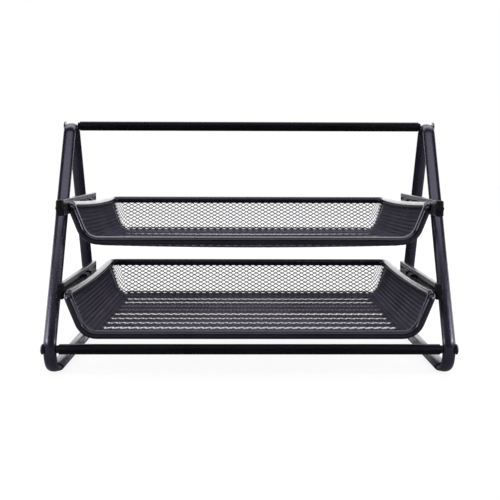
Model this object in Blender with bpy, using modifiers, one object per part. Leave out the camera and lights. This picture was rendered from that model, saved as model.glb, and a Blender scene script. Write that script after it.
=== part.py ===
# Two-tier mesh letter tray: two trays that slide in rails between a pair of bent tube frames.
# Metres, +Z up, the desk at z = 0, the front towards -Y.

import math

import bmesh
import bpy
from mathutils import Matrix, Vector

mm = 0.001

# Fits and cuts that every piece shares
seat_gap = 0.3 * mm
run_gap = 0.35 * mm
overrun = 5 * mm
weld_distance = 0.01 * mm
tube_roundness = 2
bend_steps = 7
turned_steps = 16

# Side frames: one oval tube each, bent to a closed triangle
frame_spacing = 370 * mm
tube_across = 12.3 * mm
tube_deep = 6.4 * mm
base_reach = 99.7 * mm
base_bend = 23 * mm
apex_bend = 13.4 * mm
leg_lean = math.radians(23.9)
frame_roundness = 4

# Foot sleeves on the base tubes, cut flat where they stand
foot_wall = 0.8 * mm
foot_flat = 0.3 * mm
foot_setback = 2 * mm
foot_parting = 1 * mm
foot_points = 24

# Crossbars, their end plugs and the screws that hold them
bar_diameter = 9.6 * mm
bar_wall = 1.5 * mm
plug_neck_length = 2.45 * mm
plug_neck_diameter = 7.5 * mm
plug_depth = 15 * mm
screw_diameter = 4 * mm
screw_depth = 12 * mm
screw_head_diameter = 9.7 * mm
screw_head_height = 2.1 * mm
screw_head_edge = 0.5 * mm
screw_head_steps = 4
socket_diameter = 3.4 * mm
socket_depth = 1.2 * mm

# Rails: lipped channels that open towards the trays
rail_length = 162.7 * mm
rail_height = 15 * mm
rail_depth = 4.35 * mm
rail_wall = 1.2 * mm
rail_lip = 1 * mm
rail_slot_rise = 7.6 * mm
rail_slot_height = 3.2 * mm
rail_rounding = 0.5 * mm
rail_pitch = 78 * mm

# Caps on the rails' front ends
cap_width = 6.8 * mm
cap_length = 6.7 * mm
cap_overlap = 0.5 * mm
cap_rounding = 1.4 * mm
cap_tongue = 6 * mm
cap_boss_diameter = 7 * mm
cap_boss_height = 0.9 * mm
cap_clearance = 1.1 * mm

# Trays: a net floor and three net walls, held by tube rims
tray_rim_diameter = 8 * mm
tray_spacing = 338 * mm
tray_floor_width = 308 * mm
tray_depth = 241.5 * mm
tray_height = 39.2 * mm
tray_back_set = 15.5 * mm
tray_front_set = 4.4 * mm
tray_rim_dip = 2.1 * mm
front_rim_rise = {"lower": 1 * mm, "upper": 5.2 * mm}
rim_front_bend = 5 * mm
rim_back_bend = 9 * mm
rim_front_turn = 14 * mm
rim_back_turn = 14 * mm
front_rim_bend = 14 * mm
rim_steps = 8
net_strand = 1.6 * mm
floor_net_counts = (5, 8)
back_net_counts = (7, 2)
side_net_counts = (5, 2)

# How each tray hangs on its rails
tray_travel = 78 * mm
tray_clearance = 3.75 * mm
hanger_length = 12 * mm
hanger_setback = 3 * mm
hanger_offset = 2 * mm
hanger_pitch = 24 * mm
hanger_root = 1 * mm
tongue_height = 2.4 * mm
runner_rounding = 0.4 * mm
tray_names = ("lower", "upper")
tray_front = {"lower": -99.5 * mm, "upper": -80.5 * mm}
tray_rise = {"lower": 5.95 * mm, "upper": 9.8 * mm}
tray_tip = {"lower": math.radians(0.32), "upper": math.radians(1.75)}

sides = (("left", -1), ("right", 1))

# Sizes that follow from the ones above
tube_inner_face = frame_spacing / 2 - tube_across / 2
tube_outer_face = frame_spacing / 2 + tube_across / 2
base_height = tube_deep / 2 + seat_gap + foot_wall - foot_flat
bar_height = base_height + base_bend
corner_half = (math.pi / 2 - leg_lean) / 2
corner_reach = base_reach - base_bend + base_bend / math.tan(corner_half)
vertex_height = base_height + corner_reach / math.tan(leg_lean)
apex_height = vertex_height - apex_bend * (1 / math.sin(leg_lean) - 1)
bar_half = tube_inner_face - plug_neck_length
rail_outer = tube_inner_face - seat_gap
rail_inner = rail_outer - rail_depth
channel_inner = rail_inner + rail_lip
channel_outer = rail_outer - rail_wall
rim_radius = tray_rim_diameter / 2
belly_drop = tray_height - front_rim_rise["lower"] - tray_rise["lower"] + rim_radius
lower_rail_height = bar_height + bar_diameter / 2 + tray_clearance + belly_drop
rail_bottom = {"lower": lower_rail_height, "upper": lower_rail_height + rail_pitch}
side_slant = math.hypot((tray_spacing - tray_floor_width) / 2, tray_height)
back_slant = math.hypot(tray_back_set, tray_height)
net_side_margin = net_strand / 2 + seat_gap
net_rim_margin = rim_radius + net_strand / 2 + 2 * seat_gap
runner_length = rail_length - rail_wall - cap_tongue - tray_travel - 3 * seat_gap


def tray_place(tray):
    """Where a tray's front rim corner stands, tipped back as the tray is, before the frame is centred."""
    height = rail_bottom[tray] + tray_rise[tray]
    return Matrix.Translation((0, tray_front[tray], height)) @ Matrix.Rotation(-tray_tip[tray], 4, "X")


def rear_reach(tray):
    """How far behind the frame's middle a tray's back rim reaches."""
    return (tray_place(tray) @ Vector((0, tray_depth, 0))).y + rim_radius


# The frame's middle stands forward of the origin, so that the whole object is centred on it
frame_y = (base_reach + bar_diameter / 2 - max(rear_reach(tray) for tray in tray_names)) / 2

# The caps stand just clear of the front legs' faces, and the rails run back from them
leg_middle = frame_y - (vertex_height - lower_rail_height) * math.tan(leg_lean)
rail_front = leg_middle - tube_deep / 2 / math.cos(leg_lean) - cap_clearance
rail_back = rail_front + rail_length
runner_back = rail_back - rail_wall - seat_gap


def clear_scene():
    for thing in list(bpy.data.objects):
        bpy.data.objects.remove(thing, do_unlink=True)


def new_collection(name):
    group = bpy.data.collections.new(name)
    bpy.context.scene.collection.children.link(group)
    return group


clear_scene()
parts = new_collection("mesh_letter_tray")
cutters = new_collection("cutters")


def finish(name, colour, roughness, metallic):
    """A plain material for one sub-part."""
    made = bpy.data.materials.new(name)
    made.use_nodes = True
    shader = made.node_tree.nodes["Principled BSDF"]
    shader.inputs["Base Color"].default_value = (*colour, 1)
    shader.inputs["Roughness"].default_value = roughness
    shader.inputs["Metallic"].default_value = metallic
    return made


def frame_coat(name):
    return finish(name + "_coat", (0.035, 0.033, 0.043), 0.42, 0.3)


def tray_coat(name):
    return finish(name + "_coat", (0.028, 0.027, 0.034), 0.48, 0.3)


def black_plastic(name):
    return finish(name + "_plastic", (0.012, 0.012, 0.014), 0.6, 0)


def dark_steel(name):
    return finish(name + "_steel", (0.05, 0.05, 0.055), 0.35, 0.8)


def add_object(name, data, material=None):
    """A new object: a part if it has a material, and otherwise a cutter that isn't rendered."""
    thing = bpy.data.objects.new(name, data)
    if material:
        data.materials.append(material)
        parts.objects.link(thing)
    else:
        cutters.objects.link(thing)
        thing.hide_render = True
        thing.display_type = "WIRE"
    return thing


def empty(name, place, parent=None):
    thing = bpy.data.objects.new(name, None)
    parts.objects.link(thing)
    thing.matrix_local = place
    thing.parent = parent
    return thing


def mesh_from(form, name):
    mesh = bpy.data.meshes.new(name)
    form.to_mesh(mesh)
    form.free()
    return mesh


def round_off(mesh):
    """Smooth shading that keeps the mesh's own corners."""
    mesh.shade_smooth()
    mesh.set_sharp_from_angle(angle=math.radians(40))


def baked(thing):
    """The object's finished mesh, in its own space."""
    bpy.context.view_layer.update()
    graph = bpy.context.evaluated_depsgraph_get()
    return bpy.data.meshes.new_from_object(thing.evaluated_get(graph))


def box(name, low, high, material=None):
    """A box between two corners, given in world space."""
    low = Vector(low)
    high = Vector(high)
    form = bmesh.new()
    bmesh.ops.create_cube(form, size=1)
    size = [abs(far - near) for near, far in zip(low, high)]
    bmesh.ops.scale(form, vec=size, verts=form.verts)
    thing = add_object(name, mesh_from(form, name), material)
    thing.location = (low + high) / 2
    return thing


def bevel(thing, width):
    made = thing.modifiers.new("rounding", "BEVEL")
    made.width = width
    made.segments = 2
    made.limit_method = "ANGLE"


def boolean(thing, other, operation):
    made = thing.modifiers.new(operation.lower(), "BOOLEAN")
    made.operation = operation
    made.solver = "EXACT"
    made.object = other


def turned(name, profile, material=None, closed=False):
    """A body turned about local Z, from (radius, height) points that run down its outer side."""
    form = bmesh.new()
    points = [form.verts.new((radius, 0, height)) for radius, height in profile]
    for first, second in zip(points, points[1:]):
        form.edges.new((first, second))
    if closed:
        form.edges.new((points[-1], points[0]))
    thing = add_object(name, mesh_from(form, name), material)
    screw = thing.modifiers.new("turning", "SCREW")
    screw.steps = turned_steps
    screw.render_steps = turned_steps
    screw.use_merge_vertices = True
    screw.merge_threshold = weld_distance
    return thing


def curve_object(name, path, material, closed):
    """A curve object along a path of points, as straight runs."""
    data = bpy.data.curves.new(name, "CURVE")
    data.dimensions = "3D"
    spline = data.splines.new("POLY")
    spline.points.add(len(path) - 1)
    for point, place in zip(spline.points, path):
        point.co = (*place, 1)
    spline.use_cyclic_u = closed
    return add_object(name, data, material)


def tube(name, path, radius, material, closed=False, roundness=tube_roundness):
    thing = curve_object(name, path, material, closed)
    thing.data.bevel_depth = radius
    thing.data.bevel_resolution = roundness
    thing.data.use_fill_caps = not closed
    return thing


def as_mesh(curve, material):
    """The curve's object made a mesh, its caps welded to its sides, so that it can be cut."""
    name = curve.name
    mesh = baked(curve)
    place = curve.matrix_world.copy()
    bpy.data.objects.remove(curve, do_unlink=True)
    form = bmesh.new()
    form.from_mesh(mesh)
    bmesh.ops.remove_doubles(form, verts=form.verts, dist=weld_distance)
    form.to_mesh(mesh)
    form.free()
    mesh.name = name
    mesh.materials.clear()
    thing = add_object(name, mesh, material)
    thing.matrix_world = place
    return thing


def rounded(points, bends):
    """A path through the points, with an arc of the given radius at each, and none where it is zero."""
    path = []
    for index, (corner, bend) in enumerate(zip(points, bends)):
        if not bend:
            path.append(corner)
            continue
        before = (points[index - 1] - corner).normalized()
        after = (points[(index + 1) % len(points)] - corner).normalized()
        half = before.angle(after) / 2
        centre = corner + (before + after).normalized() * (bend / math.sin(half))
        arm = corner + before * (bend / math.tan(half)) - centre
        axis = before.cross(after)
        for step in range(bend_steps + 1):
            turn = (math.pi - 2 * half) * step / bend_steps
            path.append(centre + Matrix.Rotation(-turn, 3, axis) @ arm)
    return path


def point_outward(thing, sign, reach, y, z):
    """Turns a piece's local Z outward along X and sets it at its reach from the middle."""
    thing.rotation_euler = (0, sign * math.pi / 2, 0)
    thing.location = (sign * reach, y, z)


def bar_places():
    """The (y, z) of each crossbar's middle."""
    return {
        "top": (frame_y, apex_height),
        "front_bottom": (frame_y - base_reach, bar_height),
        "rear_bottom": (frame_y + base_reach, bar_height),
    }


def side_frame(side, sign):
    """A closed triangle of oval tube, drilled for the bar screws."""
    name = side + "_side_frame"
    corners = [
        Vector((0, 0, vertex_height)),
        Vector((0, corner_reach, base_height)),
        Vector((0, -corner_reach, base_height)),
    ]
    path = rounded(corners, (apex_bend, base_bend, base_bend))
    loop = tube(name, path, tube_deep / 2, None, closed=True, roundness=frame_roundness)
    coat = frame_coat(name)
    thing = as_mesh(loop, coat)
    thing.data.transform(Matrix.Scale(tube_across / tube_deep, 4, (1, 0, 0)))
    round_off(thing.data)
    thing.location = (sign * frame_spacing / 2, frame_y, 0)
    radius = screw_diameter / 2 + seat_gap
    depth = tube_across + 2 * overrun
    for bar, (y, z) in bar_places().items():
        drill = turned("_".join((side, bar, "drill")), [(0, depth), (radius, depth), (radius, 0), (0, 0)])
        point_outward(drill, sign, tube_inner_face - overrun, y, z)
        boolean(thing, drill, "DIFFERENCE")


def crossbar(bar, y, z):
    name = bar + "_bar"
    outer = bar_diameter / 2
    inner = outer - bar_wall
    profile = [(outer, bar_half), (outer, -bar_half), (inner, -bar_half), (inner, bar_half)]
    thing = turned(name, profile, frame_coat(name), closed=True)
    point_outward(thing, 1, 0, y, z)


def bar_plug(bar, side, sign, y, z):
    """A collared plug in a crossbar's end, bored for its screw."""
    name = "_".join((bar, side, "plug"))
    neck = plug_neck_diameter / 2
    spigot = bar_diameter / 2 - bar_wall - seat_gap
    bore = screw_diameter / 2 + seat_gap
    collar = plug_neck_length - 2 * seat_gap
    profile = [(neck, collar), (neck, 0), (spigot, 0)]
    profile += [(spigot, -plug_depth), (bore, -plug_depth), (bore, collar)]
    thing = turned(name, profile, black_plastic(name), closed=True)
    point_outward(thing, sign, bar_half + seat_gap, y, z)


def bar_screw(bar, side, sign, y, z):
    """A domed screw outside the frame tube, through it and into the plug behind."""
    name = "_".join((bar, side, "screw"))
    head = screw_head_diameter / 2
    shank = screw_diameter / 2
    dome = screw_head_height - screw_head_edge
    start = tube_outer_face + seat_gap
    reach = start - bar_half + screw_depth
    profile = []
    for step in range(screw_head_steps + 1):
        turn = math.pi / 2 * step / screw_head_steps
        profile.append((head * math.sin(turn), screw_head_edge + dome * math.cos(turn)))
    profile += [(head, 0), (shank, 0), (shank, -reach), (0, -reach)]
    thing = turned(name, profile, dark_steel(name))
    point_outward(thing, sign, start, y, z)
    form = bmesh.new()
    radius = socket_diameter / 2
    bmesh.ops.create_cone(
        form, cap_ends=True, segments=6, radius1=radius, radius2=radius, depth=2 * socket_depth
    )
    socket = add_object(name + "_socket", mesh_from(form, name + "_socket"))
    point_outward(socket, sign, start + screw_head_height, y, z)
    boolean(thing, socket, "DIFFERENCE")


def oval(across, high):
    """The points of an upright oval."""
    turns = [2 * math.pi * index / foot_points for index in range(foot_points)]
    return [(across / 2 * math.cos(turn), high / 2 * math.sin(turn), 0) for turn in turns]


def foot(end, side, end_sign, side_sign):
    """An oval sleeve round half of a base tube, cut flat underneath."""
    name = "_".join((end, side, "foot"))
    reach = base_reach - base_bend - foot_setback
    length = reach - foot_parting / 2
    fit = 2 * seat_gap
    wall = 2 * foot_wall
    sleeve = curve_object(name, oval(tube_across + fit + wall, tube_deep + fit + wall), None, True)
    bore = sleeve.data.splines.new("POLY")
    inside = oval(tube_across + fit, tube_deep + fit)
    bore.points.add(len(inside) - 1)
    for point, place in zip(bore.points, inside):
        point.co = (*place, 1)
    bore.use_cyclic_u = True
    sleeve.data.dimensions = "2D"
    sleeve.data.fill_mode = "BOTH"
    sleeve.data.extrude = length / 2
    sleeve.rotation_euler = (math.pi / 2, 0, 0)
    middle = end_sign * (foot_parting / 2 + length / 2)
    sleeve.location = (side_sign * frame_spacing / 2, frame_y + middle, base_height)
    bpy.context.view_layer.update()
    thing = as_mesh(sleeve, black_plastic(name))
    round_off(thing.data)
    x, y, z = thing.matrix_world.translation
    ground = box(
        name + "_ground",
        (x - tube_across, y - length, -overrun),
        (x + tube_across, y + length, 0),
    )
    boolean(thing, ground, "DIFFERENCE")


def sided_box(name, sign, inner, outer, front, back, bottom, top, material=None):
    """A box on one side of the middle, from its inner and outer distances."""
    reach = sorted((sign * inner, sign * outer))
    return box(name, (reach[0], front, bottom), (reach[1], back, top), material)


def rail(tray, side, sign):
    """A lipped channel that opens inward and is closed at its back end."""
    name = "_".join((tray, side, "rail"))
    bottom = rail_bottom[tray]
    top = bottom + rail_height
    thing = sided_box(
        name, sign, rail_inner, rail_outer, rail_front, rail_back, bottom, top, frame_coat(name)
    )
    bevel(thing, rail_rounding)
    stop = rail_back - rail_wall
    channel = sided_box(
        name + "_channel", sign, channel_inner, channel_outer,
        rail_front - overrun, stop, bottom + rail_wall, top - rail_wall,
    )
    slot_bottom = bottom + rail_slot_rise
    slot = sided_box(
        name + "_slot", sign, rail_inner - overrun, channel_outer - rail_lip,
        rail_front - overrun, stop, slot_bottom, slot_bottom + rail_slot_height,
    )
    boolean(thing, channel, "DIFFERENCE")
    boolean(thing, slot, "DIFFERENCE")


def rail_cap(tray, side, sign):
    """A rounded block with a tongue in the rail's front end and a round boss on its face."""
    name = "_".join((tray, side, "rail_cap"))
    bottom = rail_bottom[tray]
    inner = rail_inner - cap_overlap
    back = rail_front - seat_gap
    front = back - cap_length
    thing = sided_box(
        name, sign, inner, inner + cap_width, front, back, bottom, bottom + rail_height,
        black_plastic(name),
    )
    bevel(thing, cap_rounding)
    tongue = sided_box(
        name + "_tongue", sign, channel_inner + seat_gap, channel_outer - seat_gap,
        back - cap_length / 2, rail_front + cap_tongue,
        bottom + rail_wall + seat_gap, bottom + rail_height - rail_wall - seat_gap,
    )
    boolean(thing, tongue, "UNION")
    radius = cap_boss_diameter / 2
    root = -cap_length / 2
    profile = [(0, cap_boss_height), (radius, cap_boss_height), (radius, root), (0, root)]
    boss = turned(name + "_boss", profile)
    boss.rotation_euler = (math.pi / 2, 0, 0)
    boss.location = (sign * (inner + cap_width / 2), front, bottom + rail_height / 2)
    boolean(thing, boss, "UNION")


def wall_point(sign, along, up):
    """A point on a tray's side wall: along from front to back, up from floor to rim."""
    reach = tray_floor_width / 2 + (tray_spacing - tray_floor_width) / 2 * up
    front = tray_front_set * (1 - up)
    back = tray_depth - tray_back_set * (1 - up)
    return Vector((sign * reach, front + (back - front) * along, tray_height * (up - 1)))


def rim_level(along):
    """The side rim's height up the wall, as a share, with its dip in the middle."""
    return 1 - tray_rim_dip / tray_height * 4 * along * (1 - along)


def rim_point(sign, along):
    return wall_point(sign, along, rim_level(along))


def side_rim(tray, side, sign, carrier):
    """The rim tube along one side, turned down at the front."""
    name = "_".join((tray, side, "rim"))
    end = 1 - (rim_back_turn + seat_gap) / tray_depth
    turned_down = wall_point(sign, 0, 1 - rim_front_turn / side_slant)
    run = [rim_point(sign, end * step / rim_steps) for step in range(rim_steps + 1)]
    path = rounded([turned_down] + run, [0, rim_front_bend] + [0] * rim_steps)
    tube(name, path, rim_radius, tray_coat(name)).parent = carrier


def back_rim(tray, carrier):
    """The rim tube across the back, turned forward at both corners."""
    name = tray + "_back_rim"
    start = 1 - rim_back_turn / tray_depth
    points = [rim_point(-1, start), rim_point(-1, 1), rim_point(1, 1), rim_point(1, start)]
    path = rounded(points, (0, rim_back_bend, rim_back_bend, 0))
    tube(name, path, rim_radius, tray_coat(name)).parent = carrier


def front_frame(tray, carrier):
    """The U of tube round the open front: down both slanted edges and across the bottom."""
    name = tray + "_front_frame"
    top = 1 - (rim_front_turn + seat_gap) / side_slant
    low = front_rim_rise[tray] / tray_height
    points = [wall_point(sign, 0, up) for sign, up in ((-1, top), (-1, low), (1, low), (1, top))]
    path = rounded(points, (0, front_rim_bend, front_rim_bend, 0))
    tube(name, path, rim_radius, tray_coat(name)).parent = carrier


def net(name, near_edge, far_edge, counts, carrier):
    """A flat net of diamond gaps between two edges, each a function of a share along it."""
    form = bmesh.new()
    bmesh.ops.create_grid(form, x_segments=counts[0], y_segments=counts[1], size=0.5)
    straight = [edge for edge in form.edges if not edge.is_boundary]
    bmesh.ops.poke(form, faces=form.faces)
    bmesh.ops.dissolve_edges(form, edges=straight)
    for vertex in form.verts:
        along = vertex.co.x + 0.5
        across = vertex.co.y + 0.5
        vertex.co = near_edge(along).lerp(far_edge(along), across)
    thing = add_object(name, mesh_from(form, name), tray_coat(name))
    strands = thing.modifiers.new("strands", "WIREFRAME")
    strands.thickness = net_strand
    strands.use_boundary = True
    strands.use_even_offset = True
    thing.parent = carrier


def share_between(low, high, share):
    return low + (high - low) * share


def side_net(tray, side, sign, carrier):
    """The net wall between a side rim and the floor."""
    front = (net_rim_margin + seat_gap) / tray_depth
    back = 1 - net_side_margin / tray_depth

    def foot_edge(share):
        return wall_point(sign, share_between(front, back, share), net_side_margin / side_slant)

    def rim_edge(share):
        along = share_between(front, back, share)
        return wall_point(sign, along, rim_level(along) - net_rim_margin / side_slant)

    net("_".join((tray, side, "mesh")), foot_edge, rim_edge, side_net_counts, carrier)


def back_net(tray, carrier):
    """The net wall between the back rim and the floor."""

    def edge(up):
        left = wall_point(-1, 1, up) + Vector((net_side_margin, 0, 0))
        right = wall_point(1, 1, up) - Vector((net_side_margin, 0, 0))
        return lambda share: left.lerp(right, share)

    foot_edge = edge(net_side_margin / back_slant)
    rim_edge = edge(1 - net_rim_margin / back_slant)
    net(tray + "_back_mesh", foot_edge, rim_edge, back_net_counts, carrier)


def floor_net(tray, carrier):
    """The flat net floor inside the walls' feet."""
    inset = net_strand / 2
    half = tray_floor_width / 2 - inset
    rise = front_rim_rise[tray]
    rim = wall_point(1, 0, rise / tray_height).y
    beside_rim = math.sqrt(max(0, (rim_radius + seat_gap) ** 2 - rise ** 2))
    front = rim + beside_rim + inset
    back = tray_depth - tray_back_set - inset

    def edge(y):
        return lambda share: Vector((share_between(-half, half, share), y, -tray_height))

    net(tray + "_floor_mesh", edge(front), edge(back), floor_net_counts, carrier)


def runner(tray, side, sign, carrier):
    """The flat bar that slides in a rail's channel."""
    name = "_".join((tray, side, "runner"))
    bottom = rail_bottom[tray] + rail_wall + run_gap
    top = rail_bottom[tray] + rail_height - rail_wall - run_gap
    thing = sided_box(
        name, sign, channel_inner + run_gap, channel_outer - run_gap,
        runner_back - runner_length, runner_back, bottom, top, tray_coat(name),
    )
    bevel(thing, runner_rounding)
    hold(thing, carrier)


def hold(thing, carrier):
    """Parents a piece to a carrier that stands at the origin's height, keeping its place."""
    thing.location -= carrier.location
    thing.parent = carrier


def rim_shoulder(tray, sign, y):
    """The reach and height of a side rim's outer shoulder at a place along Y in the world."""
    place = tray_place(tray)
    along = (y - frame_y - tray_front[tray]) / (tray_depth * math.cos(tray_tip[tray]))
    middle = place @ rim_point(sign, along)
    return abs(middle.x) + hanger_offset, middle.z + math.sqrt(rim_radius ** 2 - hanger_offset ** 2)


def hanger(tray, side, end, sign, front, carrier):
    """A tab on a side rim's shoulder, with a tongue through the rail's slot to the runner."""
    name = "_".join((tray, side, end, "hanger"))
    tongue_bottom = rail_bottom[tray] + rail_slot_rise + (rail_slot_height - tongue_height) / 2
    tongue_top = tongue_bottom + tongue_height
    back = front + hanger_length
    reach, front_top = rim_shoulder(tray, sign, front)
    back_top = rim_shoulder(tray, sign, back)[1]
    face = rail_inner - run_gap
    tab = sided_box(
        name, sign, reach, face,
        front, back, max(front_top, back_top) + seat_gap, tongue_top, tray_coat(name),
    )
    tongue = sided_box(
        name + "_tongue", sign, face - hanger_root, channel_inner + run_gap - seat_gap,
        front, back, tongue_bottom, tongue_top,
    )
    boolean(tab, tongue, "UNION")
    hold(tab, carrier)


def letter_tray(tray):
    """One tray with its runners, on a carrier that slides forward along its rails."""
    slide = empty(tray + "_tray_slide", Matrix.Translation((0, frame_y, 0)))
    tip = empty(tray + "_tray_tip", tray_place(tray), slide)
    floor_net(tray, tip)
    back_net(tray, tip)
    back_rim(tray, tip)
    front_frame(tray, tip)
    for side, sign in sides:
        side_net(tray, side, sign, tip)
        side_rim(tray, side, sign, tip)
        runner(tray, side, sign, slide)
        hanger_front = runner_back - runner_length + hanger_setback
        hanger(tray, side, "front", sign, hanger_front, slide)
        hanger(tray, side, "rear", sign, hanger_front + hanger_pitch, slide)


def stand():
    """The two side frames with everything that is fixed to them."""
    for bar, (y, z) in bar_places().items():
        crossbar(bar, y, z)
        for side, sign in sides:
            bar_plug(bar, side, sign, y, z)
            bar_screw(bar, side, sign, y, z)
    for side, sign in sides:
        side_frame(side, sign)
        foot("front", side, -1, sign)
        foot("rear", side, 1, sign)
        for tray in tray_names:
            rail(tray, side, sign)
            rail_cap(tray, side, sign)


stand()
for tray_name in tray_names:
    letter_tray(tray_name)
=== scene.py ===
# A two-tier mesh letter tray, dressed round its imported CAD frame
import math

import bmesh
import bpy
from mathutils import Matrix, Vector


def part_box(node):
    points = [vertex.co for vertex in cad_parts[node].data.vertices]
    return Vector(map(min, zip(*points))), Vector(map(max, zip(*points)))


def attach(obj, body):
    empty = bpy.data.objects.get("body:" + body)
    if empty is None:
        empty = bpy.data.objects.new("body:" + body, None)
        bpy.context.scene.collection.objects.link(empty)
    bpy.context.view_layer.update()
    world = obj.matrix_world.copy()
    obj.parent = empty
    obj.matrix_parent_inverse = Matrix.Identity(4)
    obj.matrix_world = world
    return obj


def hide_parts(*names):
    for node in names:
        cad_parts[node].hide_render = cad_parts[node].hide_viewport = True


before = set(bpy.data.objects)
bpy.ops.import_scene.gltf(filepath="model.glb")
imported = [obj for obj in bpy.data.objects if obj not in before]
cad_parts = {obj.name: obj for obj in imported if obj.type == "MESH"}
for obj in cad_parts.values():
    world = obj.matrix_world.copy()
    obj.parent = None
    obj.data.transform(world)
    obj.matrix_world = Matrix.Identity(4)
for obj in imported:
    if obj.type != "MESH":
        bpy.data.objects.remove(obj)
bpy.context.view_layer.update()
print("frame loaded")

mm = 0.001
sides = {"left": -1, "right": 1}
trays = ("lower", "upper")


def middleOf(node):
    low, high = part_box(node)
    return (low + high) / 2


topMiddle = middleOf("top_bar")
frontMiddle = middleOf("front_bottom_bar")
frameY = topMiddle.y
barHeight = frontMiddle.z


# Camera, where the photograph was taken from

camera = {
    "place": (-7.7 * mm, frameY - 823.6 * mm, barHeight + 175.8 * mm),
    "turn": (88.141, -0.149, -0.578),
    "lens": 56.66,
    "shift": -0.13,
    "clipEnd": 50,
}


def placeCamera():
    data = bpy.data.cameras.new("camera")
    data.lens = camera["lens"]
    data.shift_y = camera["shift"]
    data.clip_end = camera["clipEnd"]
    eye = bpy.data.objects.new("camera", data)
    bpy.context.scene.collection.objects.link(eye)
    eye.location = camera["place"]
    eye.rotation_euler = [math.radians(angle) for angle in camera["turn"]]
    bpy.context.scene.camera = eye


placeCamera()


# Short ways to add shader nodes, and the coating that all finishes share

def addNode(tree, kind, **settings):
    node = tree.nodes.new(kind)
    for name, value in settings.items():
        setattr(node, name, value)
    return node


def feed(tree, socket, value):
    # an output is linked, a plain value is set
    if isinstance(value, bpy.types.NodeSocket):
        tree.links.new(value, socket)
    else:
        socket.default_value = value


def noiseNode(tree, vector, scale, detail, roughness=0.5):
    node = addNode(tree, "ShaderNodeTexNoise")
    names = ("Vector", "Scale", "Detail", "Roughness")
    for name, value in zip(names, (vector, scale, detail, roughness)):
        feed(tree, node.inputs[name], value)
    return node.outputs["Fac"]


def remap(tree, value, span, result):
    # while value goes from one end of span to the other, the output does so in result
    node = addNode(tree, "ShaderNodeMapRange")
    names = ("Value", "From Min", "From Max", "To Min", "To Max")
    for name, limit in zip(names, (value, *span, *result)):
        feed(tree, node.inputs[name], limit)
    return node.outputs["Result"]


def maths(tree, operation, first, second):
    node = addNode(tree, "ShaderNodeMath", operation=operation)
    feed(tree, node.inputs[0], first)
    feed(tree, node.inputs[1], second)
    return node.outputs["Value"]


def mixColour(tree, share, first, second):
    node = addNode(tree, "ShaderNodeMix", data_type="RGBA")
    sockets = {socket.name: socket for socket in node.inputs if socket.enabled}
    feed(tree, sockets["Factor"], share)
    for name, colour in (("A", first), ("B", second)):
        plain = not isinstance(colour, bpy.types.NodeSocket)
        feed(tree, sockets[name], (*colour, 1) if plain else colour)
    return [socket for socket in node.outputs if socket.enabled][0]


def newGroup(name, inputs, outputs):
    group = bpy.data.node_groups.new(name, "ShaderNodeTree")
    for direction, sockets in (("INPUT", inputs), ("OUTPUT", outputs)):
        for label, kind, value in sockets:
            made = group.interface.new_socket(name=label, in_out=direction, socket_type=kind)
            if value is not None:
                made.default_value = value
    start = addNode(group, "NodeGroupInput")
    end = addNode(group, "NodeGroupOutput")
    return group, start.outputs, end.inputs


powderCoat = {
    "noiseSpan": (0.3, 0.7),
    "grainDetail": 2,
    "grainWear": (-0.04, 0.05),
    "bumpHeight": 0.06 * mm,
    "cloudScale": 24,
    "cloudDetail": 4,
    "cloudRoughness": 0.6,
    "cloudTone": (0.75, 1.5),
    "cloudWearSpan": (0.25, 0.75),
    "cloudWear": (-0.05, 0.06),
    "speckScale": 1500,
    "speckSpan": (0.68, 0.76),
    "speckShare": (0, 0.2),
    "speckColour": (0.06, 0.06, 0.075),
    "specular": 0.5,
    "specularTint": (0.8, 0.75, 1),
}


def coatingGroup():
    # a stoved powder coat: orange-peel grain, cloudy tone and a few pale specks
    colour, number, vector = "NodeSocketColor", "NodeSocketFloat", "NodeSocketVector"
    group, given, made = newGroup(
        "coating",
        [("Colour", colour, (0.02, 0.02, 0.025, 1)), ("Gloss Wear", number, 0.4),
         ("Grain Size", number, 900.0), ("Grain Depth", number, 0.2)],
        [("Colour", colour, None), ("Roughness", number, None), ("Normal", vector, None)],
    )
    place = addNode(group, "ShaderNodeTexCoord").outputs["Object"]
    grain = noiseNode(group, place, given["Grain Size"], powderCoat["grainDetail"])
    clouds = noiseNode(
        group, place, powderCoat["cloudScale"], powderCoat["cloudDetail"],
        powderCoat["cloudRoughness"],
    )
    specks = noiseNode(group, place, powderCoat["speckScale"], 1)
    tone = remap(group, clouds, powderCoat["noiseSpan"], powderCoat["cloudTone"])
    toned = addNode(group, "ShaderNodeVectorMath", operation="SCALE")
    group.links.new(given["Colour"], toned.inputs[0])
    group.links.new(tone, toned.inputs["Scale"])
    pale = remap(group, specks, powderCoat["speckSpan"], powderCoat["speckShare"])
    speckled = mixColour(group, pale, toned.outputs[0], powderCoat["speckColour"])
    group.links.new(speckled, made["Colour"])
    uneven = remap(group, clouds, powderCoat["cloudWearSpan"], powderCoat["cloudWear"])
    fine = remap(group, grain, powderCoat["noiseSpan"], powderCoat["grainWear"])
    rough = maths(group, "ADD", given["Gloss Wear"], maths(group, "ADD", uneven, fine))
    group.links.new(rough, made["Roughness"])
    bump = addNode(group, "ShaderNodeBump")
    bump.inputs["Distance"].default_value = powderCoat["bumpHeight"]
    group.links.new(given["Grain Depth"], bump.inputs["Strength"])
    group.links.new(grain, bump.inputs["Height"])
    group.links.new(bump.outputs["Normal"], made["Normal"])
    return group


coating = coatingGroup()


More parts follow.
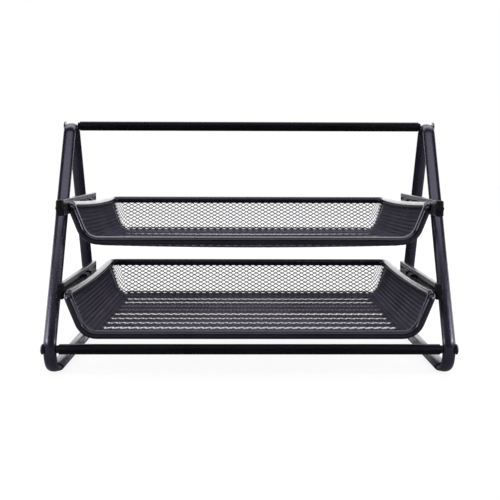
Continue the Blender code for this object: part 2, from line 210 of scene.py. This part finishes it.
def coated(name, finish):
    material = bpy.data.materials.new(name)
    material.use_nodes = True
    tree = material.node_tree
    shader = tree.nodes["Principled BSDF"]
    coat = addNode(tree, "ShaderNodeGroup", node_tree=coating)
    coat.inputs["Colour"].default_value = (*finish["colour"], 1)
    coat.inputs["Gloss Wear"].default_value = finish["roughness"]
    coat.inputs["Grain Size"].default_value = finish["grainSize"]
    coat.inputs["Grain Depth"].default_value = finish["grainDepth"]
    tree.links.new(coat.outputs["Colour"], shader.inputs["Base Color"])
    tree.links.new(coat.outputs["Roughness"], shader.inputs["Roughness"])
    tree.links.new(coat.outputs["Normal"], shader.inputs["Normal"])
    specular = finish.get("specular", powderCoat["specular"])
    shader.inputs["Specular IOR Level"].default_value = specular
    shader.inputs["Specular Tint"].default_value = (*powderCoat["specularTint"], 1)
    material.diffuse_color = (*finish["colour"], 1)
    return material


finishes = {
    "frame_coat": {
        "colour": (0.007, 0.006, 0.011), "roughness": 0.23,
        "grainSize": 950, "grainDepth": 0.2,
    },
    # darker than the frame coat and almost without gloss: painted shade that keeps the crossbars
    # black where the legs catch the light
    "bar_coat": {
        "colour": (0.002, 0.002, 0.003), "roughness": 0.3,
        "grainSize": 950, "grainDepth": 0.2, "specular": 0.06,
    },
    "rail_coat": {
        "colour": (0.034, 0.032, 0.041), "roughness": 0.28,
        "grainSize": 950, "grainDepth": 0.2,
    },
    "tray_rim": {
        "colour": (0.004, 0.004, 0.006), "roughness": 0.21,
        "grainSize": 1000, "grainDepth": 0.15, "specular": 0.45,
    },
    "tray_mesh": {
        "colour": (0.017, 0.015, 0.023), "roughness": 0.35,
        "grainSize": 1300, "grainDepth": 0.25, "specular": 0.45,
    },
    "slide_steel": {
        "colour": (0.006, 0.006, 0.007), "roughness": 0.4,
        "grainSize": 1200, "grainDepth": 0.1, "specular": 0.15,
    },
    "cap_plastic": {
        "colour": (0.003, 0.003, 0.0035), "roughness": 0.45,
        "grainSize": 1500, "grainDepth": 0.3, "specular": 0.1,
    },
    "plug_plastic": {
        "colour": (0.003, 0.003, 0.0035), "roughness": 0.45,
        "grainSize": 1500, "grainDepth": 0.3, "specular": 0.1,
    },
    "foot_plastic": {
        "colour": (0.022, 0.020, 0.028), "roughness": 0.27,
        "grainSize": 1500, "grainDepth": 0.3,
    },
    "screw_black": {
        "colour": (0.005, 0.005, 0.006), "roughness": 0.3,
        "grainSize": 1400, "grainDepth": 0.1,
    },
}
coats = {name: coated(name, finish) for name, finish in finishes.items()}
print("materials made:", len(coats))


# Shared steps for making a piece

mergeGap = 0.001 * mm


def makePiece(name, form, slot, body, corner=35):
    mesh = bpy.data.meshes.new(name)
    form.to_mesh(mesh)
    form.free()
    mesh.materials.clear()
    mesh.materials.append(coats[slot])
    mesh.shade_smooth()
    mesh.set_sharp_from_angle(angle=math.radians(corner))
    piece = bpy.data.objects.new(name, mesh)
    bpy.context.scene.collection.objects.link(piece)
    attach(piece, body)
    return piece


def roundEdges(form, edges, width, segments=3):
    bmesh.ops.bevel(
        form, geom=list(edges), offset=width, offset_type="OFFSET", affect="EDGES",
        segments=segments, profile=0.5, material=-1, clamp_overlap=True,
    )


def roundedPath(corners, bends, steps):
    # a closed line through the corners, each rounded to its bend in so many steps
    path = []
    for index, (corner, bend) in enumerate(zip(corners, bends)):
        if not bend:
            path.append(corner)
            continue
        before = (corners[index - 1] - corner).normalized()
        after = (corners[(index + 1) % len(corners)] - corner).normalized()
        half = before.angle(after) / 2
        centre = corner + (before + after).normalized() * (bend / math.sin(half))
        arm = corner + before * (bend / math.tan(half)) - centre
        axis = before.cross(after)
        for step in range(steps + 1):
            turn = (math.pi - 2 * half) * step / steps
            path.append(centre + Matrix.Rotation(-turn, 3, axis) @ arm)
    return path


def tubeForm(path, radius, roundness):
    # a closed curve with a round bevel, taken over as a bmesh
    curve = bpy.data.curves.new("tube", "CURVE")
    curve.dimensions = "3D"
    spline = curve.splines.new("POLY")
    spline.points.add(len(path) - 1)
    for point, place in zip(spline.points, path):
        point.co = (*place, 1)
    spline.use_cyclic_u = True
    curve.bevel_depth = radius
    curve.bevel_resolution = roundness
    holder = bpy.data.objects.new("tube", curve)
    bpy.context.scene.collection.objects.link(holder)
    bpy.context.view_layer.update()
    graph = bpy.context.evaluated_depsgraph_get()
    mesh = bpy.data.meshes.new_from_object(holder.evaluated_get(graph))
    form = bmesh.new()
    form.from_mesh(mesh)
    bpy.data.objects.remove(holder)
    bpy.data.curves.remove(curve)
    bpy.data.meshes.remove(mesh)
    bmesh.ops.remove_doubles(form, verts=form.verts, dist=mergeGap)
    bmesh.ops.recalc_face_normals(form, faces=form.faces)
    return form


def turnedForm(profile, steps):
    # a body turned about Z from (radius, height) points that start and end on the axis
    form = bmesh.new()
    points = [form.verts.new((radius, 0, height)) for radius, height in profile]
    edges = [form.edges.new(pair) for pair in zip(points, points[1:])]
    bmesh.ops.spin(
        form, geom=points + edges, cent=(0, 0, 0), axis=(0, 0, 1), angle=math.tau,
        steps=steps, use_merge=True,
    )
    bmesh.ops.remove_doubles(form, verts=form.verts, dist=mergeGap)
    bmesh.ops.recalc_face_normals(form, faces=form.faces)
    return form


def alongX(form, sign, x, y, z):
    # local Z points outward along X, and the form's origin goes to its place
    place = Matrix.Translation((sign * x, y, z)) @ Matrix.Rotation(sign * math.pi / 2, 4, "Y")
    bmesh.ops.transform(form, matrix=place, verts=form.verts)


# Side frames: oval tubes bent to a closed triangle

sideFrame = {
    "spacing": 370 * mm,
    "across": 12.3 * mm,
    "deep": 6.4 * mm,
    "baseReach": 99.7 * mm,
    "baseBend": 23 * mm,
    "apexBend": 13.4 * mm,
    "lean": math.radians(23.9),
    "baseHeight": barHeight - 23 * mm,  # centre of the base tubes
    "bendSteps": 20,
    "roundness": 7,
}


def makeSideFrame(side, sign):
    lean = sideFrame["lean"]
    bend = sideFrame["baseBend"]
    half = (math.pi / 2 - lean) / 2
    reach = sideFrame["baseReach"] - bend + bend / math.tan(half)
    low = sideFrame["baseHeight"]
    corners = [
        Vector((0, 0, low + reach / math.tan(lean))),
        Vector((0, reach, low)),
        Vector((0, -reach, low)),
    ]
    path = roundedPath(corners, (sideFrame["apexBend"], bend, bend), sideFrame["bendSteps"])
    form = tubeForm(path, sideFrame["deep"] / 2, sideFrame["roundness"])
    stretch = sideFrame["across"] / sideFrame["deep"]
    place = Matrix.Translation((sign * sideFrame["spacing"] / 2, frameY, 0))
    place = place @ Matrix.Scale(stretch, 4, (1, 0, 0))
    bmesh.ops.transform(form, matrix=place, verts=form.verts)
    piece = makePiece(side + "FrameTube", form, "frame_coat", "stand", corner=60)
    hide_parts(side + "_side_frame")


for side, sign in sides.items():
    makeSideFrame(side, sign)
print("side frames made")


# Crossbars, the collars at their ends and the button screws outside

bar = {"diameter": 9.6 * mm, "edge": 0.4 * mm, "segments": 48}
collar = {"diameter": 7.5 * mm, "edge": 0.25 * mm, "overlap": 0.6 * mm}
screw = {
    "headDiameter": 9.7 * mm,
    "headHeight": 2.1 * mm,
    "rimHeight": 0.5 * mm,
    "socketWidth": 3.4 * mm,
    "socketDepth": 1.2 * mm,
    "underEdge": 0.12 * mm,
    "domeSteps": 12,
    "segments": 48,
}
barMiddles = {
    "top": topMiddle,
    "front_bottom": frontMiddle,
    "rear_bottom": middleOf("rear_bottom_bar"),
}


def rodForm(diameter, length, edge, segments=40):
    form = bmesh.new()
    bmesh.ops.create_cone(
        form, cap_ends=True, segments=segments,
        radius1=diameter / 2, radius2=diameter / 2, depth=length,
    )
    ends = [e for e in form.edges if abs(e.verts[0].co.z - e.verts[1].co.z) < edge]
    roundEdges(form, ends, edge)
    return form


def makeBar(name, middle):
    low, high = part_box(name + "_bar")
    form = rodForm(bar["diameter"], high.x - low.x, bar["edge"], bar["segments"])
    alongX(form, 1, 0, middle.y, middle.z)
    words = name.split("_")
    label = words[0] + "".join(word.title() for word in words[1:]) + "Bar"
    piece = makePiece(label, form, "bar_coat", "stand")
    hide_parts(name + "_bar")
    return high.x


def makeCollar(name, side, sign, middle, start):
    node = "_".join((name, side, "plug"))
    low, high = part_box(node)
    outer = max(abs(low.x), abs(high.x))
    start -= collar["overlap"]
    form = rodForm(collar["diameter"], outer - start, collar["edge"])
    alongX(form, sign, (outer + start) / 2, middle.y, middle.z)
    piece = makePiece(node.replace("_plug", "_collar"), form, "plug_plastic", "stand")
    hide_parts(node)


def screwForm():
    head = screw["headDiameter"] / 2
    dome = screw["headHeight"] - screw["rimHeight"]
    profile = [(0, screw["headHeight"])]
    for step in range(1, screw["domeSteps"] + 1):
        turn = math.pi / 2 * step / screw["domeSteps"]
        profile.append((head * math.sin(turn), screw["rimHeight"] + dome * math.cos(turn)))
    profile += [(head, screw["underEdge"]), (head - screw["underEdge"], 0), (0, 0)]
    return turnedForm(profile, screw["segments"])


def cutSocket(form):
    # the hexagon socket, cut with a six-sided tool and taken over as a mesh
    holders = []
    tool = bmesh.new()
    wide = screw["socketWidth"] / 2 / math.cos(math.pi / 6)
    bmesh.ops.create_cone(
        tool, cap_ends=True, segments=6,
        radius1=wide, radius2=wide, depth=2 * screw["socketDepth"],
    )
    lift = Matrix.Translation((0, 0, screw["headHeight"]))
    bmesh.ops.transform(tool, matrix=lift, verts=tool.verts)
    for label, shape in (("head", form), ("socketTool", tool)):
        mesh = bpy.data.meshes.new(label)
        shape.to_mesh(mesh)
        shape.free()
        holder = bpy.data.objects.new(label, mesh)
        bpy.context.scene.collection.objects.link(holder)
        holders.append(holder)
    cut = holders[0].modifiers.new("socket", "BOOLEAN")
    cut.operation = "DIFFERENCE"
    cut.solver = "EXACT"
    cut.object = holders[1]
    bpy.context.view_layer.update()
    graph = bpy.context.evaluated_depsgraph_get()
    made = bpy.data.meshes.new_from_object(holders[0].evaluated_get(graph))
    for holder in holders:
        data = holder.data
        bpy.data.objects.remove(holder)
        bpy.data.meshes.remove(data)
    return made


socketed = cutSocket(screwForm())


def makeScrew(name, side, sign, middle):
    node = "_".join((name, side, "screw"))
    low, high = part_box(node)
    outer = max(abs(low.x), abs(high.x))
    form = bmesh.new()
    form.from_mesh(socketed)
    alongX(form, sign, outer - screw["headHeight"], middle.y, middle.z)
    piece = makePiece(node + "Head", form, "screw_black", "stand", corner=30)
    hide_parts(node)


for name, middle in barMiddles.items():
    barEnd = makeBar(name, middle)
    for side, sign in sides.items():
        makeCollar(name, side, sign, middle, barEnd)
        makeScrew(name, side, sign, middle)
print("crossbars, collars and screws made")


# Foot sleeves on the base tubes, flat where they stand

foot = {
    "wall": 0.8 * mm,
    "fit": 0.3 * mm,
    "edge": 0.3 * mm,
    "edgeSteps": 2,
    "sharp": math.radians(57),
    "segments": 48,
}


def makeFoot(end, side):
    node = "_".join((end, side, "foot"))
    low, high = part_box(node)
    outerWidth = high.x - low.x
    outerHeight = sideFrame["deep"] + 2 * (foot["fit"] + foot["wall"])
    form = bmesh.new()
    for wall in (0, foot["wall"]):
        ring = bmesh.ops.create_circle(form, segments=foot["segments"], radius=1)["verts"]
        size = ((outerWidth - 2 * wall) / 2, (outerHeight - 2 * wall) / 2, 1)
        bmesh.ops.scale(form, vec=size, verts=ring)
    form.edges.ensure_lookup_table()
    face = bmesh.ops.bridge_loops(form, edges=form.edges[:])["faces"]
    length = high.y - low.y
    walls = bmesh.ops.extrude_face_region(form, geom=face)["geom"]
    moved = [g for g in walls if isinstance(g, bmesh.types.BMVert)]
    bmesh.ops.translate(form, vec=(0, 0, length), verts=moved)
    bmesh.ops.recalc_face_normals(form, faces=form.faces)
    level = [e for e in form.edges if abs(e.verts[0].co.z - e.verts[1].co.z) < length / 2]
    ends = [e for e in level if e.calc_face_angle(0) > foot["sharp"]]
    roundEdges(form, ends, foot["edge"], foot["edgeSteps"])
    turn = Matrix.Rotation(math.pi / 2, 4, "X")
    place = Matrix.Translation(((low.x + high.x) / 2, high.y, sideFrame["baseHeight"])) @ turn
    bmesh.ops.transform(form, matrix=place, verts=form.verts)
    for vertex in form.verts:
        vertex.co.z = max(vertex.co.z, 0)  # flat on the desk
    piece = makePiece(node + "Sleeve", form, "foot_plastic", "stand", corner=50)
    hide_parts(node)


for side in sides:
    for end in ("front", "rear"):
        makeFoot(end, side)
print("foot sleeves made")


# Caps on the rails' front ends

cap = {
    "rounding": 1.7 * mm,
    "roundingSteps": 5,
    "seam": 0.3 * mm,
    "bossDiameter": 7 * mm,
    "bossHeight": 0.9 * mm,
    "bossEdge": 0.35 * mm,
    "bossRoot": 1 * mm,
}


def makeCap(tray, side):
    node = "_".join((tray, side, "rail_cap"))
    low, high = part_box(node)
    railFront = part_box("_".join((tray, side, "rail")))[0].y
    front = low.y + cap["bossHeight"]
    back = railFront - cap["seam"]
    form = bmesh.new()
    block = bmesh.ops.create_cube(form, size=1)["verts"]
    bmesh.ops.scale(form, vec=(high.x - low.x, back - front, high.z - low.z), verts=block)
    roundEdges(form, form.edges, cap["rounding"], cap["roundingSteps"])
    middle = Vector(((low.x + high.x) / 2, (front + back) / 2, (low.z + high.z) / 2))
    bmesh.ops.translate(form, vec=middle, verts=form.verts)
    bossLength = 2 * cap["bossHeight"] + cap["bossRoot"]
    boss = rodForm(cap["bossDiameter"], bossLength, cap["bossEdge"])
    place = Matrix.Translation((middle.x, front + cap["bossRoot"] / 2, middle.z))
    place = place @ Matrix.Rotation(math.pi / 2, 4, "X")
    bmesh.ops.transform(boss, matrix=place, verts=boss.verts)
    mesh = bpy.data.meshes.new("boss")
    boss.to_mesh(mesh)
    boss.free()
    form.from_mesh(mesh)
    bpy.data.meshes.remove(mesh)
    piece = makePiece(node.replace("_cap", "") + "Cap", form, "cap_plastic", "stand")
    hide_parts(node)


for tray in trays:
    for side in sides:
        makeCap(tray, side)
print("rail caps made")


# Trays: one rim tube round each, and one drawn sheet of expanded mesh inside it

pan = {
    "rimDiameter": 8 * mm,
    "spacing": 338 * mm,
    "floorWidth": 308 * mm,
    "depth": 241.5 * mm,
    "height": 39.2 * mm,
    "backSet": 15.5 * mm,
    "frontSet": 4.4 * mm,
    "dip": 2.1 * mm,
    "frontTopBend": 5 * mm,
    "backBend": 9 * mm,
    "frontBottomBend": 18 * mm,
    "dipSteps": 24,
    "bendSteps": 14,
    "roundness": 5,
}
trayFront = {"lower": -99.5 * mm, "upper": -80.5 * mm}  # from the top bar
trayRise = {"lower": 5.95 * mm, "upper": 9.8 * mm}  # over the rails' undersides
frontRise = {"lower": 1 * mm, "upper": 5.2 * mm}  # of the front rim over the floor
trayTip = {"lower": math.radians(0.32), "upper": math.radians(1.75)}
sheet = {
    "longPitch": 7.9 * mm,
    "shortPitch": 4.5 * mm,
    "bond": 0.9 * mm,
    "strand": 0.76 * mm,
    "knuckle": 0.27 * mm,
    "gauge": 1.3 * mm,
    "backGauge": 0.6 * mm,
    "edgeStrip": 5 * mm,
    "rowGauge": 0.08 * mm,
    "rowStart": {"lower": 36.2 * mm, "upper": 134 * mm},
    "rowSpacing": {"lower": 23.3 * mm, "upper": 50 * mm},
    "rowHalf": {"lower": 3.7 * mm, "upper": 8 * mm},
    "rowWave": 7 * mm,
    "rowEdge": 1 * mm,
    "bendClosing": 1.8 * mm,
    "closingStart": 2.25 * mm,
    "closingEnd": 2 * mm,
    "backFillet": 9 * mm,
    "cornerRadius": 9 * mm,
    "frontRun": 16 * mm,
    "sag": {"lower": 0.0, "upper": 2.2 * mm},
    "sagStart": 0.1,
    "sagEnd": 0.5,
    "slopeStep": 0.2 * mm,
}


def trayPlace(tray):
    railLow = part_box(tray + "_left_rail")[0].z
    shift = Matrix.Translation((0, frameY + trayFront[tray], railLow + trayRise[tray]))
    return shift @ Matrix.Rotation(-trayTip[tray], 4, "X")


def wallPoint(sign, along, up):
    # along goes from 0 at the front to 1 at the back, up from 0 on the floor to 1 on the rim
    reach = pan["floorWidth"] / 2 + (pan["spacing"] - pan["floorWidth"]) / 2 * up
    front = pan["frontSet"] * (1 - up)
    back = pan["depth"] - pan["backSet"] * (1 - up)
    return Vector((sign * reach, front + (back - front) * along, pan["height"] * (up - 1)))


def rimLevel(along):
    return 1 - pan["dip"] / pan["height"] * 4 * along * (1 - along)


def makeRim(tray):
    steps = pan["dipSteps"]
    left = [wallPoint(-1, s / steps, rimLevel(s / steps)) for s in range(steps + 1)]
    right = [wallPoint(1, s / steps, rimLevel(s / steps)) for s in range(steps, -1, -1)]
    low = frontRise[tray] / pan["height"]
    bottom = [wallPoint(1, 0, low), wallPoint(-1, 0, low)]
    plain = [0] * (steps - 1)
    bends = [pan["frontTopBend"], *plain, pan["backBend"]]
    bends += bends[::-1] + [pan["frontBottomBend"]] * 2
    path = roundedPath(left + right + bottom, bends, pan["bendSteps"])
    form = tubeForm(path, pan["rimDiameter"] / 2, pan["roundness"])
    bmesh.ops.transform(form, matrix=trayPlace(tray), verts=form.verts)
    piece = makePiece(tray + "TrayRim", form, "tray_rim", tray + "_tray", corner=60)
    parts = ("back_rim", "left_rim", "right_rim", "front_frame")
    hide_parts(*("_".join((tray, part)) for part in parts))


def smooth(value):
    value = min(1, max(0, value))
    return value * value * (3 - 2 * value)


class Wall:
    # the line of one wall from the floor, round its fillet and up its slant

    def __init__(self, start, corner, fillet, lean, low, high):
        turn = math.pi / 2 - lean
        tangent = fillet * math.tan(turn / 2)
        self.low, self.fillet, self.lean, self.turn = low, fillet, lean, turn
        self.flat = corner - tangent - start
        self.arc = fillet * turn
        self.rise = (high - low) / math.cos(lean) - tangent
        self.length = self.flat + self.arc + self.rise

    def at(self, share):
        run = share * self.length
        if run <= self.flat:
            return run, self.low
        turn = min((run - self.flat) / self.fillet, self.turn)
        out = self.flat + self.fillet * math.sin(turn)
        up = self.low + self.fillet * (1 - math.cos(turn))
        rest = max(0, run - self.flat - self.arc)
        return out + rest * math.sin(self.lean), up + rest * math.cos(self.lean)


sideLean = math.atan((pan["spacing"] - pan["floorWidth"]) / 2 / pan["height"])
backLean = math.atan(pan["backSet"] / pan["height"])
sideTangent = pan["frontBottomBend"] * math.tan((math.pi / 2 - sideLean) / 2)
flatHalf = pan["floorWidth"] / 2 - sideTangent  # half the width that lies flat
floorBack = pan["depth"] - pan["backSet"]
flatBack = floorBack - sheet["backFillet"] * math.tan((math.pi / 2 - backLean) / 2)
backWall = Wall(flatBack, floorBack, sheet["backFillet"], backLean, -pan["height"], 0)


def sideWall(run, rise):
    # run is the distance behind the front rim on the floor
    lift = rise * (1 - smooth(run / sheet["frontRun"]))
    along = min(1, run / flatBack)
    level = rimLevel(along * flatBack / pan["depth"]) if along < 1 else 1
    corner = pan["floorWidth"] / 2 + lift * math.tan(sideLean)
    low = lift - pan["height"]
    high = pan["height"] * (level - 1)
    return Wall(flatHalf, corner, pan["frontBottomBend"], sideLean, low, high)


def sheetPoint(u, v, blank, sag):
    # u across and v back on the flat blank, to a point of the drawn pan
    sign = -1 if u < 0 else 1
    sideShare = max(0, abs(u) - flatHalf) / (blank["u"] - flatHalf)
    backShare = max(0, v - blank["flatV"]) / (blank["v"] - blank["flatV"])
    run = min(max(0, v), blank["flatV"]) / blank["flatV"]
    wall = sideWall(run * flatBack, blank["rise"])
    if backShare <= 0:
        out, up = wall.at(sideShare)
        front = pan["frontSet"] * max(0, -up / pan["height"])
        y = front + (flatBack - front) * run
        if sideShare <= 0:
            hollow = (1 - (u / flatHalf) ** 2) * smooth(run / sheet["sagStart"])
            up -= sag * hollow * smooth((1 - run) / sheet["sagEnd"])
        return Vector((sign * (min(abs(u), flatHalf) + out), y, up))
    if sideShare <= 0:
        out, up = backWall.at(backShare)
        return Vector((u, flatBack + out, up))
    # the corner behind: both walls are as far up, and a round joins them
    share = max(sideShare, backShare)
    sideOut, sideUp = wall.at(share)
    backOut, backUp = backWall.at(share)
    radius = min(sideOut, backOut, sheet["cornerRadius"])
    onSide = sideShare >= backShare
    if onSide:
        travel, whole = backShare * backWall.length, share * backWall.length
        straight = backOut - radius
    else:
        travel, whole = sideShare * wall.length, share * wall.length
        straight = sideOut - radius
    turn, reach = 0, min(travel, straight)
    if min(travel, whole) > straight:
        turn = (travel - straight) / (whole - straight) * math.pi / 4
    if onSide:
        x = sideOut - radius + radius * math.cos(turn)
        y = reach + radius * math.sin(turn)
        mix = turn / (math.pi / 2)
    else:
        x = reach + radius * math.sin(turn)
        y = backOut - radius + radius * math.cos(turn)
        mix = 1 - turn / (math.pi / 2)
    return Vector((sign * (flatHalf + x), flatBack + y, sideUp + (backUp - sideUp) * mix))


def latticeForm(columns, rows, blank):
    # six-sided openings with short bonds between them, on the flat blank
    form = bmesh.new()
    bmesh.ops.create_grid(form, x_segments=columns, y_segments=rows, size=0.5)
    spots = {}
    for vertex in form.verts:
        spots[vertex] = (round((vertex.co.x + 0.5) * columns), round((vertex.co.y + 0.5) * rows))
    unbonded = []
    for edge in form.edges:
        first, second = spots[edge.verts[0]], spots[edge.verts[1]]
        column, row = min(first[0], second[0]), first[1]
        if row == second[1] and 0 < row < rows and (column + row) % 2:
            unbonded.append(edge)
    shift = (blank["pitch"] - sheet["bond"]) / 2
    for vertex, (column, row) in spots.items():
        u = (column - columns / 2) * blank["pitch"]
        if 0 < column < columns:
            u += shift if (column + row) % 2 == 0 else -shift
        vertex.co = (u, row * blank["rowPitch"], 0)
    bmesh.ops.dissolve_edges(form, edges=unbonded, use_verts=False)
    bmesh.ops.wireframe(
        form, faces=form.faces, thickness=sheet["strand"], offset=0, use_replace=True,
        use_boundary=True, use_even_offset=True,
    )
    for vertex in form.verts:
        off = vertex.co.y - round(vertex.co.y / blank["rowPitch"]) * blank["rowPitch"]
        if abs(off) > sheet["strand"] / 4:
            # the strands fold together round the bend at the back, and under the rim
            past = vertex.co.y - blank["flatV"]
            closed = smooth(past / sheet["closingStart"])
            closed *= smooth(1 - (past - sheet["backFillet"]) / sheet["closingEnd"])
            closed += smooth((vertex.co.y - blank["v"]) / sheet["edgeStrip"] + 1)
            vertex.co.y += math.copysign(sheet["knuckle"] + sheet["bendClosing"] * closed, off)
    return form


def gaugeAt(u, v, blank):
    # how far the strands stand on edge: least on the back wall and in wavy rows on the floor
    rise = smooth((v - blank["flatV"]) / sheet["backFillet"] - 1)
    gauge = sheet["gauge"] + (sheet["backGauge"] - sheet["gauge"]) * rise
    if abs(u) > flatHalf or v > blank["flatV"] + sheet["shortPitch"]:
        return gauge
    wave = math.cos(math.pi * u / blank["pitch"]) * sheet["rowWave"] / 2
    row = (v - wave - blank["rowStart"]) / blank["rowSpacing"]
    off = abs(row - max(0, round(row))) * blank["rowSpacing"]
    share = smooth((off - blank["rowHalf"]) / sheet["rowEdge"] + 0.5)
    return sheet["rowGauge"] + (gauge - sheet["rowGauge"]) * share


def makeSheet(tray):
    halfU = flatHalf + sideWall(flatBack / 2, frontRise[tray]).length
    lengthV = flatBack - pan["frontSet"] + backWall.length
    columns = 2 * round(halfU / sheet["longPitch"] * 2)
    rows = 2 * round(lengthV / sheet["shortPitch"])
    blank = {
        "u": halfU,
        "v": lengthV,
        "flatV": flatBack - pan["frontSet"],
        "pitch": 2 * halfU / columns,
        "rowPitch": lengthV / rows,
        "rise": frontRise[tray],
        "rowStart": sheet["rowStart"][tray],
        "rowSpacing": sheet["rowSpacing"][tray],
        "rowHalf": sheet["rowHalf"][tray],
    }
    form = latticeForm(columns, rows, blank)
    place = trayPlace(tray)
    sag = sheet["sag"][tray]
    step = sheet["slopeStep"]
    for vertex in form.verts:
        u, v, proud = vertex.co
        u = min(blank["u"], max(-blank["u"], u))
        v = min(blank["v"], max(0, v))
        here = sheetPoint(u, v, blank, sag)
        across = sheetPoint(u + step, v, blank, sag) - sheetPoint(u - step, v, blank, sag)
        back = sheetPoint(u, v + step, blank, sag) - sheetPoint(u, v - step, blank, sag)
        normal = across.cross(back).normalized()
        vertex.co = place @ (here + normal * proud * gaugeAt(u, v, blank) / sheet["strand"])
    piece = makePiece(tray + "TraySheet", form, "tray_mesh", tray + "_tray", corner=80)
    parts = ("floor_mesh", "back_mesh", "left_mesh", "right_mesh")
    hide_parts(*("_".join((tray, part)) for part in parts))
    print(tray, "sheet:", columns, "by", rows, len(piece.data.polygons), "faces")


for tray in trays:
    makeRim(tray)
    makeSheet(tray)
print("trays made")


# The CAD nodes that stay get their finish

for name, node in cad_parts.items():
    if node.hide_render:
        continue
    slot = "rail_coat" if name.endswith("_rail") else "slide_steel"
    node.data.materials.clear()
    node.data.materials.append(coats[slot])


# Floor, background and light

studio = {
    "floorSize": 6.0,
    "floorDrop": 0.2 * mm,
    "floorColour": (0.93, 0.93, 0.935),
    "floorRoughness": 0.9,
    "floorGlow": 0.85,  # share of the floor's colour that takes no shade
    "glowReach": (0.3, 1.3),  # metres from the middle
    "glow": (1.03, 1.18),
    "floorMirror": 0.28,  # the floor as gloss on the object shows it
    "ambient": 0.04,
    "mirrorHeading": (0.12, 0.42),  # from dark in front to white behind
    "mirror": (0.02, 1.0),
}


def makeFloor():
    form = bmesh.new()
    bmesh.ops.create_grid(form, x_segments=1, y_segments=1, size=studio["floorSize"])
    mesh = bpy.data.meshes.new("floor")
    form.to_mesh(mesh)
    form.free()
    floor = bpy.data.objects.new("floor", mesh)
    floor.location.z = -studio["floorDrop"]
    bpy.context.scene.collection.objects.link(floor)
    material = bpy.data.materials.new("paleFloor")
    material.use_nodes = True
    tree = material.node_tree
    shader = tree.nodes["Principled BSDF"]
    shader.inputs["Roughness"].default_value = studio["floorRoughness"]
    glow = addNode(tree, "ShaderNodeEmission")
    away = addNode(tree, "ShaderNodeVectorMath", operation="LENGTH")
    tree.links.new(addNode(tree, "ShaderNodeTexCoord").outputs["Object"], away.inputs[0])
    spread = remap(tree, away.outputs["Value"], studio["glowReach"], studio["glow"])
    tree.links.new(spread, glow.inputs["Strength"])
    rays = addNode(tree, "ShaderNodeLightPath")
    dimmed = [channel * studio["floorMirror"] for channel in studio["floorColour"]]
    colour = mixColour(tree, rays.outputs["Is Glossy Ray"], studio["floorColour"], dimmed)
    tree.links.new(colour, shader.inputs["Base Color"])
    seen = maths(tree, "MULTIPLY", rays.outputs["Is Camera Ray"], studio["floorGlow"])
    mix = addNode(tree, "ShaderNodeMixShader")
    tree.links.new(seen, mix.inputs[0])
    tree.links.new(shader.outputs[0], mix.inputs[1])
    tree.links.new(glow.outputs[0], mix.inputs[2])
    tree.links.new(mix.outputs[0], tree.nodes["Material Output"].inputs["Surface"])
    mesh.materials.append(material)


def makeWorld():
    world = bpy.data.worlds.new("studio")
    bpy.context.scene.world = world
    world.use_nodes = True
    tree = world.node_tree
    ground = tree.nodes["Background"]
    ground.inputs["Color"].default_value = (1, 1, 1, 1)
    rays = addNode(tree, "ShaderNodeLightPath")
    direction = addNode(tree, "ShaderNodeTexCoord").outputs["Generated"]
    parts = addNode(tree, "ShaderNodeSeparateXYZ")
    tree.links.new(direction, parts.inputs[0])
    behind = remap(tree, parts.outputs["Y"], studio["mirrorHeading"], studio["mirror"])
    lit = remap(tree, rays.outputs["Is Glossy Ray"], (0, 1), (studio["ambient"], behind))
    through = rays.outputs["Is Transmission Ray"]
    seen = maths(tree, "MAXIMUM", rays.outputs["Is Camera Ray"], through)
    strength = remap(tree, seen, (0, 1), (lit, 1))
    tree.links.new(strength, ground.inputs["Strength"])


lamps = {
    "overhead": {
        "place": (0, 0.35, 1.5), "aim": (0, 0, 0.1), "size": (2.4, 0.8), "power": 20,
    },
    "behind": {
        "place": (0, 1.7, 0.75), "aim": (0, 0, 0.1), "size": (2.6, 1.2), "power": 11,
    },
    "frontTop": {
        "place": (0, -1.0, 1.25), "aim": (0, 0, 0.15), "size": (2.4, 0.45), "power": 12,
    },
}
sideLamps = {
    "Side": {
        "place": (0.75, -0.05, 0.12), "aim": (0, -0.05, 0.08), "size": (0.6, 0.3), "power": 2,
    },
    "Front": {
        "place": (0.8, -0.7, 0.32), "aim": (0.19, -0.12, 0.04), "size": (0.45, 0.24),
        "power": 0.6, "spread": 55,
    },
}
for label, lamp in sideLamps.items():
    for side, sign in sides.items():
        flipped = {key: Vector((sign, 1, 1)) * Vector(lamp[key]) for key in ("place", "aim")}
        lamps[side + label] = {**lamp, **flipped}


def makeLamp(name, lamp):
    data = bpy.data.lights.new(name, "AREA")
    data.shape = "RECTANGLE"
    data.size, data.size_y = lamp["size"]
    data.energy = lamp["power"]
    data.spread = math.radians(lamp.get("spread", 180))
    light = bpy.data.objects.new(name, data)
    light.visible_camera = False
    bpy.context.scene.collection.objects.link(light)
    light.location = lamp["place"]
    aim = Vector(lamp["aim"]) - light.location
    light.rotation_euler = aim.to_track_quat("-Z", "Y").to_euler()


makeFloor()
makeWorld()
for name, lamp in lamps.items():
    makeLamp(name, lamp)
bpy.context.scene.view_settings.view_transform = "Standard"
print("studio made")
